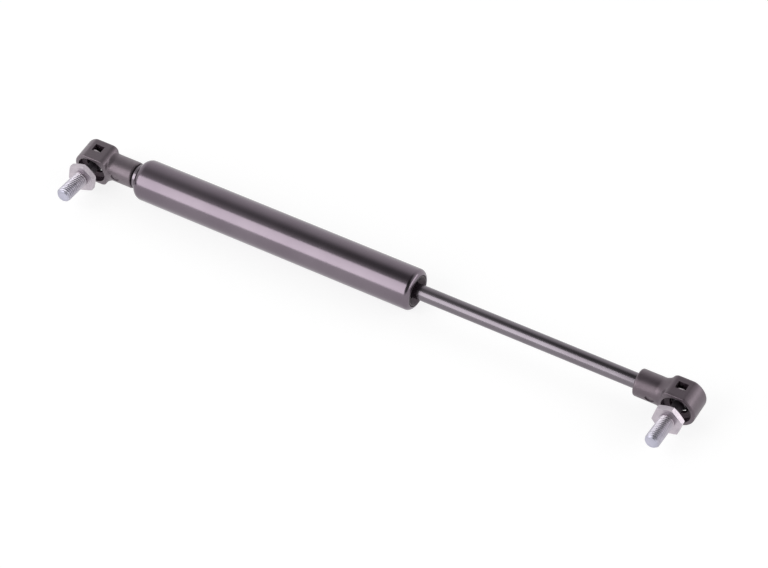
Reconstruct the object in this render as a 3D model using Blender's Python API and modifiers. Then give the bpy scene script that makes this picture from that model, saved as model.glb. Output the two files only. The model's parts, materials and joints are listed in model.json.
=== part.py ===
"""Gas strut stay: a non-locking gas spring with an angle ball joint on each end.

+X runs along the strut from the tube end to the rod end, the two ball studs point to -Y and +Z is
up. The part lies on the plane z = 0 at full length, with its origin at the bottom centre of its
bounding box. Every axial place below is a distance in X from the tube-side ball centre.
"""

import math

import bmesh
import bpy
from mathutils import Matrix

MM = 0.001
GAP = 0.3 * MM                      # room left between pieces that touch

# Strut
BALL_TO_BALL = 340.0 * MM
STROKE = 120.0 * MM
TUBE_R = 11.0 * MM
TUBE_WALL = 1.25 * MM
TUBE_START = 26.6 * MM
TUBE_END = 193.0 * MM
ROD_R = 4.0 * MM

# Closed end of the tube and its plug
SHOULDER_R = 4.8 * MM
COLLAR_R = 6.4 * MM
COLLAR_START = 24.5 * MM
PLUG_FACE = 36.6 * MM
THREAD_R = 4.0 * MM                 # M8

# Rod end of the tube: rolled lip, cap, guide, seal and washer, from outside inwards
LIP_R = 2.8 * MM
CAP_R = 8.2 * MM
CAP_LENGTH = 5.3 * MM
CAP_FLANGE = 1.6 * MM
GUIDE_LENGTH = 8.0 * MM
LINER_R = 5.0 * MM
SEAL_LENGTH = 6.0 * MM
SEAL_WASHER = 1.5 * MM

# O-rings, the same section in the plug and in the guide
O_RING_SECTION = 0.9 * MM
O_RING_GROOVE = 2.6 * MM

# Piston
PISTON_R = 9.2 * MM
PISTON_LENGTH = 8.5 * MM
PISTON_WASHER = 1.2 * MM
PISTON_WASHER_R = 7.5 * MM
PISTON_GROOVE = 3.2 * MM
PISTON_GROOVE_R = 7.2 * MM
JOURNAL_R = 2.5 * MM
RIVET_R = 3.6 * MM
RIVET_LENGTH = 1.2 * MM
ORIFICE_R = 0.8 * MM
ORIFICE_PLACE = 5.4 * MM

# Ball stud, measured from the ball centre towards the thread's tip
BALL_R = 5.0 * MM
STUD_NECK_R = 3.0 * MM
HEX_FLATS = 14.5 * MM
HEX_BACK = 13.8 * MM
HEX_FACE = 16.9 * MM
STUD_TIP = 33.0 * MM
TIP_CHAMFER = 1.0 * MM
TUBE_HEX_TURN = 20.0                # degrees, how each hexagon happens to stand
ROD_HEX_TURN = 15.0

# Ball socket, measured from the ball centre
TUBE_SOCKET_LEAN = 9.0              # degrees about the strut: each stud stands tilted in its socket
ROD_SOCKET_LEAN = 5.0
HEAD_R = 10.1 * MM
HEAD_HALF_HEIGHT = 9.4 * MM
HEAD_BACK = 6.4 * MM
HEAD_MOUTH = 7.4 * MM
HEAD_EDGE = 1.9 * MM                # rounding of the closed back
HEAD_LONG_SIDE = 9.9 * MM           # where the block ends towards the neck, one side and the other
HEAD_SHORT_SIDE = 8.3 * MM
HEAD_CORNER = 3.4 * MM
NECK_R = 7.1 * MM
NECK_START = 6.5 * MM               # its ramp out of the block's back
NECK_FULL = 10.0 * MM
NECK_END = 23.8 * MM
FLARE_START = 8.0 * MM
FLARE_END = 12.4 * MM
FLARE_R = 9.2 * MM
FLARE_TIP_R = 7.0 * MM
FLARE_CURVE = 1.25
FLARE_FLATTEN = 0.7
RECESS_START = 12.5 * MM            # small moulded recess on the mouth side of the neck
RECESS_END = 16.3 * MM
RECESS_HALF_WIDTH = 1.3 * MM
RECESS_DEPTH = 0.8 * MM
BORE_BOTTOM = 10.6 * MM
MOUTH_R = 8.2 * MM
SEAT_DEPTH = 3.6 * MM

# Retaining clip: an oval wire ring in a slot, seen through a window above and below
CLIP_PLANE = 0.9 * MM
CLIP_HALF_WIDTH = 5.8 * MM
CLIP_HALF_HEIGHT = 8.3 * MM
CLIP_WIRE_R = 0.55 * MM
WINDOW_OFFSET = 0.8 * MM            # towards the neck
WINDOW_HALF_WIDTH = 2.7 * MM
WINDOW_FRONT = 1.9 * MM
WINDOW_BACK = 2.5 * MM

# Facets of turned pieces
FINE = 40
COARSE = 24

# Places that follow from the dimensions
AXIS_Y = (STUD_TIP - TUBE_R) / 2
AXIS_Z = TUBE_R
BALL_X = -BALL_TO_BALL / 2
BORE_R = TUBE_R - TUBE_WALL         # inside of the tube
PACK_R = BORE_R - GAP               # pieces that sit inside the tube
CAP_BACK = TUBE_END - CAP_LENGTH - 0.1 * MM
GUIDE_BACK = CAP_BACK - GAP - GUIDE_LENGTH
SEAL_BACK = GUIDE_BACK - GAP - SEAL_LENGTH
SEAL_WASHER_BACK = SEAL_BACK - GAP - SEAL_WASHER
FRONT_WASHER_BACK = SEAL_WASHER_BACK - GAP - PISTON_WASHER
PISTON_BACK = FRONT_WASHER_BACK - GAP - PISTON_LENGTH
BACK_WASHER_BACK = PISTON_BACK - GAP - PISTON_WASHER
RIVET_BACK = BACK_WASHER_BACK - GAP - RIVET_LENGTH
O_RING_R = BORE_R - GAP - O_RING_SECTION
GROOVE_R = O_RING_R - O_RING_SECTION - GAP


# ---------------------------------------------------------------- helpers

def clear_scene():
    for item in list(bpy.data.objects):
        bpy.data.objects.remove(item, do_unlink=True)


def new_collection(name):
    collection = bpy.data.collections.new(name)
    bpy.context.scene.collection.children.link(collection)
    return collection


def make_material(name, colour, roughness, metallic):
    material = bpy.data.materials.new(name)
    material.use_nodes = True
    shader = material.node_tree.nodes["Principled BSDF"]
    shader.inputs["Base Color"].default_value = (*colour, 1.0)
    shader.inputs["Roughness"].default_value = roughness
    shader.inputs["Metallic"].default_value = metallic
    return material


def add_object(name, data, collection, parent, matrix):
    item = bpy.data.objects.new(name, data)
    collection.objects.link(item)
    item.parent = parent
    item.matrix_local = matrix
    return item


def add_empty(name, collection, matrix, parent=None):
    empty = add_object(name, None, collection, parent, matrix)
    empty.empty_display_size = 10 * MM
    return empty


def arc(centre_x, centre_r, radius, start, stop, count):
    """Points (x, r) on an arc, angles in degrees from +X towards +r."""
    points = []
    for i in range(count + 1):
        angle = math.radians(start + (stop - start) * i / count)
        points.append((centre_x + radius * math.cos(angle), centre_r + radius * math.sin(angle)))
    return points


ALONG_X = Matrix.Rotation(math.radians(90), 4, "Y")     # a turning axis along +X
ALONG_STUD = Matrix.Rotation(math.radians(90), 4, "X")  # a turning axis along -Y


def turned_mesh(name, outer, inner=None):
    """Profile of (axial, radius) points; outer and inner both run from low to high axial place."""
    points = list(reversed(outer))
    if inner:
        points += inner
    mesh = bpy.data.meshes.new(name)
    edges = [(i, i + 1) for i in range(len(points) - 1)]
    if inner:
        edges.append((len(points) - 1, 0))
    mesh.from_pydata([(radius, 0.0, axial) for axial, radius in points], edges, [])
    return mesh


def turned(name, outer, inner, collection, parent, matrix, steps):
    item = add_object(name, turned_mesh(name, outer, inner), collection, parent, matrix)
    screw = item.modifiers.new("turn", "SCREW")
    screw.steps = steps
    screw.render_steps = steps
    screw.use_merge_vertices = True
    screw.merge_threshold = 0.00001
    screw.use_smooth_shade = True
    return item


def ring(start, stop, inner_r, outer_r):
    """Outer and inner profiles of a plain ring."""
    return [(start, outer_r), (stop, outer_r)], [(start, inner_r), (stop, inner_r)]


def o_ring_profile(centre):
    outer = arc(centre, O_RING_R, O_RING_SECTION, 180, 0, 4)
    inner = arc(centre, O_RING_R, O_RING_SECTION, 180, 360, 4)[1:-1]
    return outer, inner


def make_cutter(item):
    item.hide_render = True
    item.display_type = "WIRE"
    return item


def boolean(item, tool, operation):
    modifier = item.modifiers.new(tool.name, "BOOLEAN")
    modifier.operation = operation
    modifier.solver = "EXACT"
    modifier.object = tool


def box_tool(name, low, high, collection, parent):
    mesh = bpy.data.meshes.new(name)
    solid = bmesh.new()
    bmesh.ops.create_cube(solid, size=1.0)
    size = [b - a for a, b in zip(low, high)]
    middle = [(a + b) / 2 for a, b in zip(low, high)]
    bmesh.ops.scale(solid, vec=size, verts=solid.verts)
    bmesh.ops.translate(solid, vec=middle, verts=solid.verts)
    solid.to_mesh(mesh)
    solid.free()
    return make_cutter(add_object(name, mesh, collection, parent, Matrix.Identity(4)))


def hex_mesh(name, flats, low, high):
    mesh = bpy.data.meshes.new(name)
    solid = bmesh.new()
    radius = flats / math.sqrt(3)
    place = Matrix.Translation((0, 0, (low + high) / 2))
    bmesh.ops.create_cone(solid, cap_ends=True, segments=6, radius1=radius, radius2=radius,
                          depth=high - low, matrix=place)
    solid.to_mesh(mesh)
    solid.free()
    return mesh


def mesh_from_curve(item):
    """Turn a curve object into a mesh object of the same name, with its caps welded."""
    bpy.context.view_layer.update()
    evaluated = item.evaluated_get(bpy.context.evaluated_depsgraph_get())
    mesh = bpy.data.meshes.new_from_object(evaluated)
    solid = bmesh.new()
    solid.from_mesh(mesh)
    bmesh.ops.remove_doubles(solid, verts=solid.verts, dist=0.000001)
    solid.to_mesh(mesh)
    solid.free()
    name = item.name
    collection = item.users_collection[0]
    parent = item.parent
    matrix = item.matrix_local.copy()
    bpy.data.objects.remove(item, do_unlink=True)
    return add_object(name, mesh, collection, parent, matrix)


def assign(item, material):
    item.data.materials.clear()
    item.data.materials.append(material)


# ---------------------------------------------------------------- barrel

def tube_profile():
    """The tube's wall with its rolled-in closed end and rolled-in lip."""
    shoulder_x = TUBE_START + SHOULDER_R
    shoulder_r = TUBE_R - SHOULDER_R
    lip_x = TUBE_END - LIP_R
    lip_r = TUBE_R - LIP_R
    closed_cut = math.degrees(math.asin((COLLAR_R + GAP - shoulder_r) / SHOULDER_R))
    inner_cut = math.degrees(math.asin((COLLAR_R + GAP - shoulder_r) / (SHOULDER_R - TUBE_WALL)))
    open_cut = math.degrees(math.asin((CAP_R + GAP - lip_r) / LIP_R))
    open_inner = math.degrees(math.asin((CAP_R + GAP - lip_r) / (LIP_R - TUBE_WALL)))
    outer = arc(shoulder_x, shoulder_r, SHOULDER_R, 180 - closed_cut, 90, 5)
    outer += arc(lip_x, lip_r, LIP_R, 90, open_cut, 5)
    inner = arc(shoulder_x, shoulder_r, SHOULDER_R - TUBE_WALL, 180 - inner_cut, 90, 4)
    inner += arc(lip_x, lip_r, LIP_R - TUBE_WALL, 90, open_inner, 4)
    return outer, inner


def plug_profile():
    """Threaded stub, collar and the plug's body with its O-ring groove."""
    shoulder_x = TUBE_START + SHOULDER_R
    shoulder_r = TUBE_R - SHOULDER_R
    radius = SHOULDER_R - TUBE_WALL - GAP
    cut = math.degrees(math.asin((COLLAR_R - shoulder_r) / radius))
    groove = (shoulder_x + PLUG_FACE) / 2
    stub_start = BORE_BOTTOM + 2 * GAP
    outer = [(stub_start, 0), (stub_start, THREAD_R - 0.6 * MM), (stub_start + 0.6 * MM, THREAD_R),
             (COLLAR_START, THREAD_R), (COLLAR_START, COLLAR_R)]
    outer += arc(shoulder_x, shoulder_r, radius, 180 - cut, 90, 4)
    outer += [(groove - O_RING_GROOVE / 2, PACK_R), (groove - O_RING_GROOVE / 2, GROOVE_R),
              (groove + O_RING_GROOVE / 2, GROOVE_R), (groove + O_RING_GROOVE / 2, PACK_R),
              (PLUG_FACE, PACK_R), (PLUG_FACE, 0)]
    return outer, groove


def cap_profile():
    """Flange behind the lip and a boss with a dished face around the rod."""
    boss = CAP_BACK + CAP_FLANGE
    face = CAP_BACK + CAP_LENGTH
    outer = [(CAP_BACK, PACK_R - 0.05 * MM), (boss, PACK_R - 0.05 * MM), (boss, CAP_R), (face, CAP_R),
             (face, CAP_R - 0.5 * MM)]
    inner = [(CAP_BACK, ROD_R + GAP), (face - 1.9 * MM, ROD_R + GAP)]
    return outer, inner


def guide_profile():
    stop = GUIDE_BACK + GUIDE_LENGTH
    groove = GUIDE_BACK + GUIDE_LENGTH / 2
    outer = [(GUIDE_BACK, PACK_R), (groove - O_RING_GROOVE / 2, PACK_R),
             (groove - O_RING_GROOVE / 2, GROOVE_R), (groove + O_RING_GROOVE / 2, GROOVE_R),
             (groove + O_RING_GROOVE / 2, PACK_R), (stop, PACK_R)]
    inner = [(GUIDE_BACK, LINER_R + GAP), (stop, LINER_R + GAP)]
    return outer, inner, groove


def seal_profile():
    """Rubber ring with a V groove that opens towards the gas."""
    stop = SEAL_BACK + SEAL_LENGTH
    outer = [(SEAL_BACK, PACK_R - 0.6 * MM), (SEAL_BACK + 1.2 * MM, PACK_R), (stop, PACK_R)]
    inner = [(SEAL_BACK, 7.9 * MM), (SEAL_BACK + 2.4 * MM, 6.7 * MM), (SEAL_BACK, 5.6 * MM),
             (SEAL_BACK + 1.0 * MM, ROD_R + GAP), (stop, ROD_R + GAP)]
    return outer, inner


def build_barrel(collection, axis, materials):
    outer, inner = tube_profile()
    tube = turned("pressure_tube", outer, inner, collection, axis, ALONG_X, FINE)
    assign(tube, materials["tube_paint"])

    outer, groove = plug_profile()
    plug = turned("end_plug", outer, None, collection, axis, ALONG_X, FINE)
    assign(plug, materials["tube_paint"])
    outer, inner = o_ring_profile(groove)
    plug_ring = turned("end_plug_o_ring", outer, inner, collection, axis, ALONG_X, COARSE)
    assign(plug_ring, materials["rubber"])

    outer, inner = cap_profile()
    cap = turned("front_cap", outer, inner, collection, axis, ALONG_X, FINE)
    assign(cap, materials["cap_plastic"])

    outer, inner, groove = guide_profile()
    guide = turned("guide_bush", outer, inner, collection, axis, ALONG_X, COARSE)
    assign(guide, materials["guide"])
    outer, inner = o_ring_profile(groove)
    guide_ring = turned("guide_o_ring", outer, inner, collection, axis, ALONG_X, COARSE)
    assign(guide_ring, materials["rubber"])
    outer, inner = ring(GUIDE_BACK + 2 * GAP, GUIDE_BACK + GUIDE_LENGTH - 2 * GAP,
                        ROD_R + GAP, LINER_R)
    liner = turned("guide_liner", outer, inner, collection, axis, ALONG_X, COARSE)
    assign(liner, materials["liner"])

    outer, inner = seal_profile()
    seal = turned("rod_seal", outer, inner, collection, axis, ALONG_X, COARSE)
    assign(seal, materials["rubber"])
    outer, inner = ring(SEAL_WASHER_BACK, SEAL_WASHER_BACK + SEAL_WASHER, ROD_R + 2 * GAP, PACK_R)
    washer = turned("seal_washer", outer, inner, collection, axis, ALONG_X, COARSE)
    assign(washer, materials["steel"])


# ---------------------------------------------------------------- rod and piston

def rod_profile():
    shoulder = FRONT_WASHER_BACK + PISTON_WASHER + GAP
    tip = BALL_TO_BALL - BORE_BOTTOM - 2 * GAP
    return [(RIVET_BACK, 0), (RIVET_BACK, RIVET_R - 0.5 * MM), (RIVET_BACK + 0.4 * MM, RIVET_R),
            (RIVET_BACK + RIVET_LENGTH, RIVET_R), (RIVET_BACK + RIVET_LENGTH, JOURNAL_R),
            (shoulder, JOURNAL_R), (shoulder, ROD_R), (tip - 0.6 * MM, ROD_R),
            (tip, ROD_R - 0.6 * MM), (tip, 0)]


def piston_profile():
    stop = PISTON_BACK + PISTON_LENGTH
    groove = PISTON_BACK + PISTON_LENGTH / 2
    outer = [(PISTON_BACK, PISTON_R), (groove - PISTON_GROOVE / 2, PISTON_R),
             (groove - PISTON_GROOVE / 2, PISTON_GROOVE_R),
             (groove + PISTON_GROOVE / 2, PISTON_GROOVE_R),
             (groove + PISTON_GROOVE / 2, PISTON_R), (stop, PISTON_R)]
    inner = [(PISTON_BACK, JOURNAL_R + GAP), (stop, JOURNAL_R + GAP)]
    return outer, inner, groove


def build_rod(collection, cutters, axis, materials):
    rod = turned("piston_rod", rod_profile(), None, collection, axis, ALONG_X, FINE)
    assign(rod, materials["rod"])

    for name, start in (("piston_front_washer", FRONT_WASHER_BACK),
                        ("piston_back_washer", BACK_WASHER_BACK)):
        outer, inner = ring(start, start + PISTON_WASHER, JOURNAL_R + GAP, PISTON_WASHER_R)
        washer = turned(name, outer, inner, collection, axis, ALONG_X, COARSE)
        assign(washer, materials["steel"])

    outer, inner, groove = piston_profile()
    piston = turned("piston_body", outer, inner, collection, axis, ALONG_X, COARSE)
    assign(piston, materials["piston"])
    place = Matrix.Translation((0, 0, ORIFICE_PLACE))
    hole = turned("orifice_cutter", [(PISTON_BACK - 1 * MM, 0), (PISTON_BACK - 1 * MM, ORIFICE_R),
                                     (PISTON_BACK + PISTON_LENGTH + 1 * MM, ORIFICE_R),
                                     (PISTON_BACK + PISTON_LENGTH + 1 * MM, 0)],
                  None, cutters, axis, place @ ALONG_X, 12)
    boolean(piston, make_cutter(hole), "DIFFERENCE")

    half = PISTON_GROOVE / 2 - GAP
    outer, inner = ring(groove - half, groove + half, PISTON_GROOVE_R + GAP, PACK_R)
    piston_ring = turned("piston_ring", outer, inner, collection, axis, ALONG_X, COARSE)
    assign(piston_ring, materials["ring"])


# ---------------------------------------------------------------- ball joints

def head_outline():
    """The head seen along the stud: a round end, flat top and bottom, and a squared neck side."""
    spread = math.degrees(math.asin(HEAD_HALF_HEIGHT / HEAD_R))
    corner = HEAD_HALF_HEIGHT - HEAD_CORNER
    points = arc(0, 0, HEAD_R, 180 - spread, 180 + spread, 12)
    points += arc(HEAD_SHORT_SIDE - HEAD_CORNER, -corner, HEAD_CORNER, -90, -8, 4)
    points += arc(HEAD_LONG_SIDE - HEAD_CORNER, corner, HEAD_CORNER, -8, 90, 4)
    return points


def head_block(name, collection, parent):
    """The outline as a plate thicker than the head, rounded at the back; the mouth is cut later."""
    curve = bpy.data.curves.new(name, "CURVE")
    curve.dimensions = "2D"
    curve.fill_mode = "BOTH"
    front = HEAD_MOUTH + 1.5 * HEAD_EDGE
    curve.extrude = (front + HEAD_BACK) / 2 - HEAD_EDGE
    curve.bevel_depth = HEAD_EDGE
    curve.bevel_resolution = 2
    curve.offset = -HEAD_EDGE
    outline = head_outline()
    spline = curve.splines.new("POLY")
    spline.points.add(len(outline) - 1)
    for point, (x, z) in zip(spline.points, outline):
        point.co = (x, z, 0, 1)
    spline.use_cyclic_u = True
    place = ALONG_STUD @ Matrix.Translation((0, 0, (front - HEAD_BACK) / 2))
    return mesh_from_curve(add_object(name, curve, collection, parent, place))


def flare_profile():
    outer = [(0, 0), (0, FLARE_R), (FLARE_START, FLARE_R)]
    for i in range(1, 6):
        t = i / 5
        radius = FLARE_TIP_R + (FLARE_R - FLARE_TIP_R) * (1 - t) ** FLARE_CURVE
        outer.append((FLARE_START + (FLARE_END - FLARE_START) * t, radius))
    outer.append((FLARE_END, 0))
    return outer


def mouth_profile():
    """Round seat at the back, straight behind the clip, then a wide mouth."""
    seat = BALL_R + GAP
    points = [(-seat, 0)] + arc(0, 0, seat, 180, 90, 5)[1:]
    points += [(SEAT_DEPTH, seat), (SEAT_DEPTH + 1 * MM, MOUTH_R - 0.6 * MM),
               (HEAD_MOUTH + 1 * MM, MOUTH_R), (HEAD_MOUTH + 1 * MM, 0)]
    return points


def oval_slot(name, collection, parent):
    """A thin oval disc, a little larger than the clip all round."""
    room = CLIP_WIRE_R + 0.35 * MM
    mesh = bpy.data.meshes.new(name)
    solid = bmesh.new()
    bmesh.ops.create_cone(solid, cap_ends=True, segments=COARSE, radius1=1.0, radius2=1.0,
                          depth=2 * room)
    bmesh.ops.scale(solid, vec=(CLIP_HALF_WIDTH + room, CLIP_HALF_HEIGHT + room, 1.0),
                    verts=solid.verts)
    solid.to_mesh(mesh)
    solid.free()
    place = ALONG_STUD @ Matrix.Translation((0, 0, CLIP_PLANE))
    return make_cutter(add_object(name, mesh, collection, parent, place))


def build_clip(name, collection, parent, material):
    curve = bpy.data.curves.new(name, "CURVE")
    curve.dimensions = "3D"
    curve.bevel_depth = CLIP_WIRE_R
    curve.bevel_resolution = 1
    spline = curve.splines.new("POLY")
    spline.points.add(COARSE - 1)
    for i, point in enumerate(spline.points):
        angle = 2 * math.pi * i / COARSE
        point.co = (CLIP_HALF_WIDTH * math.cos(angle), CLIP_HALF_HEIGHT * math.sin(angle), 0, 1)
    spline.use_cyclic_u = True
    place = ALONG_STUD @ Matrix.Translation((0, 0, CLIP_PLANE))
    clip = mesh_from_curve(add_object(name, curve, collection, parent, place))
    assign(clip, material)


def build_socket(side, collection, cutters, parent, material):
    name = side + "_ball_socket"
    socket = head_block(name, collection, parent)
    assign(socket, material)

    flare = turned(side + "_flare_tool", flare_profile(), None, cutters, parent,
                   Matrix.Diagonal((1, FLARE_FLATTEN, 1, 1)) @ ALONG_X, COARSE)
    neck = turned(side + "_neck_tool",
                  [(NECK_START, 0), (NECK_START, HEAD_BACK - 0.2 * MM), (NECK_FULL, NECK_R),
                   (NECK_END - 0.5 * MM, NECK_R), (NECK_END, NECK_R - 0.5 * MM), (NECK_END, 0)],
                  None, cutters, parent, ALONG_X, 32)
    boolean(socket, make_cutter(flare), "UNION")
    boolean(socket, make_cutter(neck), "UNION")

    reach = 30 * MM
    front = box_tool(side + "_front_cutter", (-reach, -reach, -reach), (reach, -HEAD_MOUTH, reach),
                     cutters, parent)
    boolean(socket, front, "DIFFERENCE")
    mouth = turned(side + "_mouth_cutter", mouth_profile(), None, cutters, parent, ALONG_STUD, 32)
    boolean(socket, make_cutter(mouth), "DIFFERENCE")
    bore = turned(side + "_bore_cutter",
                  [(BORE_BOTTOM, 0), (BORE_BOTTOM, THREAD_R + GAP),
                   (NECK_END - 1.5 * MM, THREAD_R + GAP), (NECK_END - 1.5 * MM, THREAD_R + 1 * MM),
                   (NECK_END + 1 * MM, THREAD_R + 1 * MM), (NECK_END + 1 * MM, 0)],
                  None, cutters, parent, ALONG_X, COARSE)
    boolean(socket, make_cutter(bore), "DIFFERENCE")
    boolean(socket, oval_slot(side + "_slot_cutter", cutters, parent), "DIFFERENCE")
    window = box_tool(side + "_window_cutter",
                      (WINDOW_OFFSET - WINDOW_HALF_WIDTH, -WINDOW_FRONT, -reach),
                      (WINDOW_OFFSET + WINDOW_HALF_WIDTH, WINDOW_BACK, reach), cutters, parent)
    boolean(socket, window, "DIFFERENCE")
    recess = box_tool(side + "_recess_cutter", (RECESS_START, -2 * NECK_R, -RECESS_HALF_WIDTH),
                      (RECESS_END, -NECK_R + RECESS_DEPTH, RECESS_HALF_WIDTH), cutters, parent)
    boolean(socket, recess, "DIFFERENCE")


def stud_profile():
    """Ball, neck and thread as one turned piece; the hexagon is joined to it."""
    neck_angle = math.degrees(math.asin(STUD_NECK_R / BALL_R))
    outer = [(-BALL_R, 0)] + arc(0, 0, BALL_R, 180, neck_angle, 8)[1:]
    outer += [((HEX_BACK + HEX_FACE) / 2, STUD_NECK_R), ((HEX_BACK + HEX_FACE) / 2, THREAD_R),
              (STUD_TIP - TIP_CHAMFER, THREAD_R), (STUD_TIP, THREAD_R - TIP_CHAMFER),
              (STUD_TIP, 0)]
    return outer


def build_stud(side, collection, cutters, parent, material, hex_turn):
    stud = turned(side + "_ball_stud", stud_profile(), None, collection, parent, ALONG_STUD, COARSE)
    assign(stud, material)
    mesh = hex_mesh(side + "_hex_tool", HEX_FLATS, HEX_BACK, HEX_FACE)
    place = ALONG_STUD @ Matrix.Rotation(math.radians(hex_turn), 4, "Z")
    tool = add_object(side + "_hex_tool", mesh, cutters, parent, place)
    boolean(stud, make_cutter(tool), "UNION")


# ---------------------------------------------------------------- assembly

def main():
    clear_scene()
    parts = new_collection("gas_strut_stay")
    cutters = new_collection("cutters")
    materials = {
        "tube_paint": make_material("tube_paint", (0.012, 0.011, 0.013), 0.22, 0.0),
        "rod": make_material("rod", (0.05, 0.047, 0.055), 0.2, 0.9),
        "cap_plastic": make_material("cap_plastic", (0.012, 0.012, 0.013), 0.5, 0.0),
        "socket": make_material("socket", (0.035, 0.032, 0.037), 0.45, 0.0),
        "zinc": make_material("zinc", (0.72, 0.71, 0.76), 0.3, 1.0),
        "steel": make_material("steel", (0.55, 0.55, 0.57), 0.3, 1.0),
        "rubber": make_material("rubber", (0.02, 0.02, 0.02), 0.7, 0.0),
        "guide": make_material("guide", (0.6, 0.59, 0.55), 0.5, 0.0),
        "liner": make_material("liner", (0.62, 0.42, 0.2), 0.4, 1.0),
        "piston": make_material("piston", (0.45, 0.46, 0.48), 0.5, 0.9),
        "ring": make_material("ring", (0.75, 0.73, 0.68), 0.6, 0.0),
    }

    start = Matrix.Translation((BALL_X, AXIS_Y, AXIS_Z))
    barrel = add_empty("barrel_axis", parts, start)
    build_barrel(parts, barrel, materials)
    rod = add_empty("rod_axis", parts, Matrix.Identity(4), barrel)
    build_rod(parts, cutters, rod, materials)

    tube_joint = add_empty("tube_joint", parts, Matrix.Identity(4), barrel)
    half_turn = Matrix.Rotation(math.radians(180), 4, "Y")
    rod_end = Matrix.Translation((BALL_TO_BALL, 0, 0)) @ half_turn
    rod_joint = add_empty("rod_joint", parts, rod_end, rod)
    for side, joint, lean, hex_turn in (("tube", tube_joint, TUBE_SOCKET_LEAN, TUBE_HEX_TURN),
                                        ("rod", rod_joint, -ROD_SOCKET_LEAN, ROD_HEX_TURN)):
        tilt = Matrix.Rotation(math.radians(lean), 4, "X")
        leaning = add_empty(side + "_socket_lean", parts, tilt, joint)
        build_socket(side, parts, cutters, leaning, materials["socket"])
        build_clip(side + "_retaining_clip", parts, leaning, materials["steel"])
        build_stud(side, parts, cutters, joint, materials["zinc"], hex_turn)


main()
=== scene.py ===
"""The looks of the gas strut stay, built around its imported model.

Each piece is made in its own frame: a turned piece has its axis along local +Z, and a ball joint's
pieces have their origin at the ball centre, the neck towards local +X and the stud towards -Y.
"""

import json
import math

import bmesh
import bpy
from mathutils import Matrix, Vector


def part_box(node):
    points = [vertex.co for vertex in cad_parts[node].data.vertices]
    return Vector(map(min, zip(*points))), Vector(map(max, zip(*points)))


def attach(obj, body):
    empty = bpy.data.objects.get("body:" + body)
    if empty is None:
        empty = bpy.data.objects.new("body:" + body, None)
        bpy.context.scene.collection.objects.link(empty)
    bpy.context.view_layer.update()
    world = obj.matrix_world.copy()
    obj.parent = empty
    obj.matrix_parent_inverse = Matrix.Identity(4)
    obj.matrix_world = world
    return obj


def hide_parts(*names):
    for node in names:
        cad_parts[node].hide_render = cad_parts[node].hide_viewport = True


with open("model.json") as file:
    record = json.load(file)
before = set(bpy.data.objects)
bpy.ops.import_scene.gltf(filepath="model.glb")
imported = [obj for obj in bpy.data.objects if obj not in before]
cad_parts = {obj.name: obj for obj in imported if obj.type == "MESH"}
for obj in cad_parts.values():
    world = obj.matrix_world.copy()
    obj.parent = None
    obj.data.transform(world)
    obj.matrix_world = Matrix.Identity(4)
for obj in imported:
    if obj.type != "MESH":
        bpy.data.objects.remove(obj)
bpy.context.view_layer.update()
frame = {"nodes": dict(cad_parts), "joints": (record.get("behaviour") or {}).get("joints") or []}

MM = 0.001
TURN = 2 * math.pi


# ---------------------------------------------------------------- places, all from the CAD model

def joint_place(name):
    for joint in frame["joints"]:
        if joint["name"] == name:
            return Vector(joint["pos_m"])
    raise ValueError(name)


TUBE_BALL = joint_place("tube_stud_swivel")
ROD_BALL = joint_place("rod_stud_swivel")
TUBE_LOW, TUBE_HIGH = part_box("pressure_tube")
ROD_LOW, ROD_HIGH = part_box("piston_rod")
PLUG_LOW, PLUG_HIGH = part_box("end_plug")
CAP_LOW, CAP_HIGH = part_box("front_cap")
SOCKET_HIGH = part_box("tube_ball_socket")[1]
STUD_LOW, STUD_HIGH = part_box("tube_ball_stud")

TUBE_R = (TUBE_HIGH.z - TUBE_LOW.z) / 2
TUBE_START = TUBE_LOW.x - TUBE_BALL.x
TUBE_END = TUBE_HIGH.x - TUBE_BALL.x
ROD_R = (ROD_HIGH.z - ROD_LOW.z) / 2
PLUG_START = PLUG_LOW.x - TUBE_BALL.x
PLUG_FACE = PLUG_HIGH.x - TUBE_BALL.x
PLUG_R = (PLUG_HIGH.z - PLUG_LOW.z) / 2
CAP_BACK = CAP_LOW.x - TUBE_BALL.x
CAP_FACE = CAP_HIGH.x - TUBE_BALL.x
CAP_FLANGE_R = (CAP_HIGH.z - CAP_LOW.z) / 2
NECK_END = SOCKET_HIGH.x - TUBE_BALL.x
BALL_R = STUD_HIGH.y - TUBE_BALL.y
STUD_TIP = TUBE_BALL.y - STUD_LOW.y

# ---------------------------------------------------------------- sizes that the CAD boxes don't give

GAP = 0.3 * MM                      # room in every fit
CUT_PAST = 1 * MM                   # how far a cutter goes past the surface

# tube, plug and cap
WALL = 1.25 * MM
SHOULDER_R = 4.8 * MM
LIP_R = 2.8 * MM
ROLLED_EDGE = 0.35 * MM
COLLAR_START = 24.5 * MM
COLLAR_R = 6.4 * MM
PLUG_EDGE = 0.3 * MM
GROOVE_HALF_WIDTH = 1.3 * MM
GROOVE_DEPTH = 2.1 * MM
CAP_R = 8.2 * MM
CAP_FLANGE = 1.6 * MM
CAP_EDGE = 0.2 * MM
CAP_DISH = (                        # depth below the face and radius, from the rim inward
    (0.0 * MM, CAP_R - 0.7 * MM),
    (0.9 * MM, CAP_R - 1.5 * MM),
    (2.3 * MM, ROD_R + 1.5 * MM),
    (2.5 * MM, ROD_R + 1.3 * MM),
    (1.8 * MM, ROD_R + 0.5 * MM),   # wiping lip
    (2.0 * MM, ROD_R + 0.3 * MM),
    (3.0 * MM, ROD_R + 0.4 * MM),
)

# rod
RIVET_R = 3.6 * MM
RIVET_LENGTH = 1.2 * MM
RIVET_ROUND = 0.8 * MM
JOURNAL_R = 2.5 * MM
ROD_EDGE = 0.25 * MM
END_CHAMFER = 0.6 * MM

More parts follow.
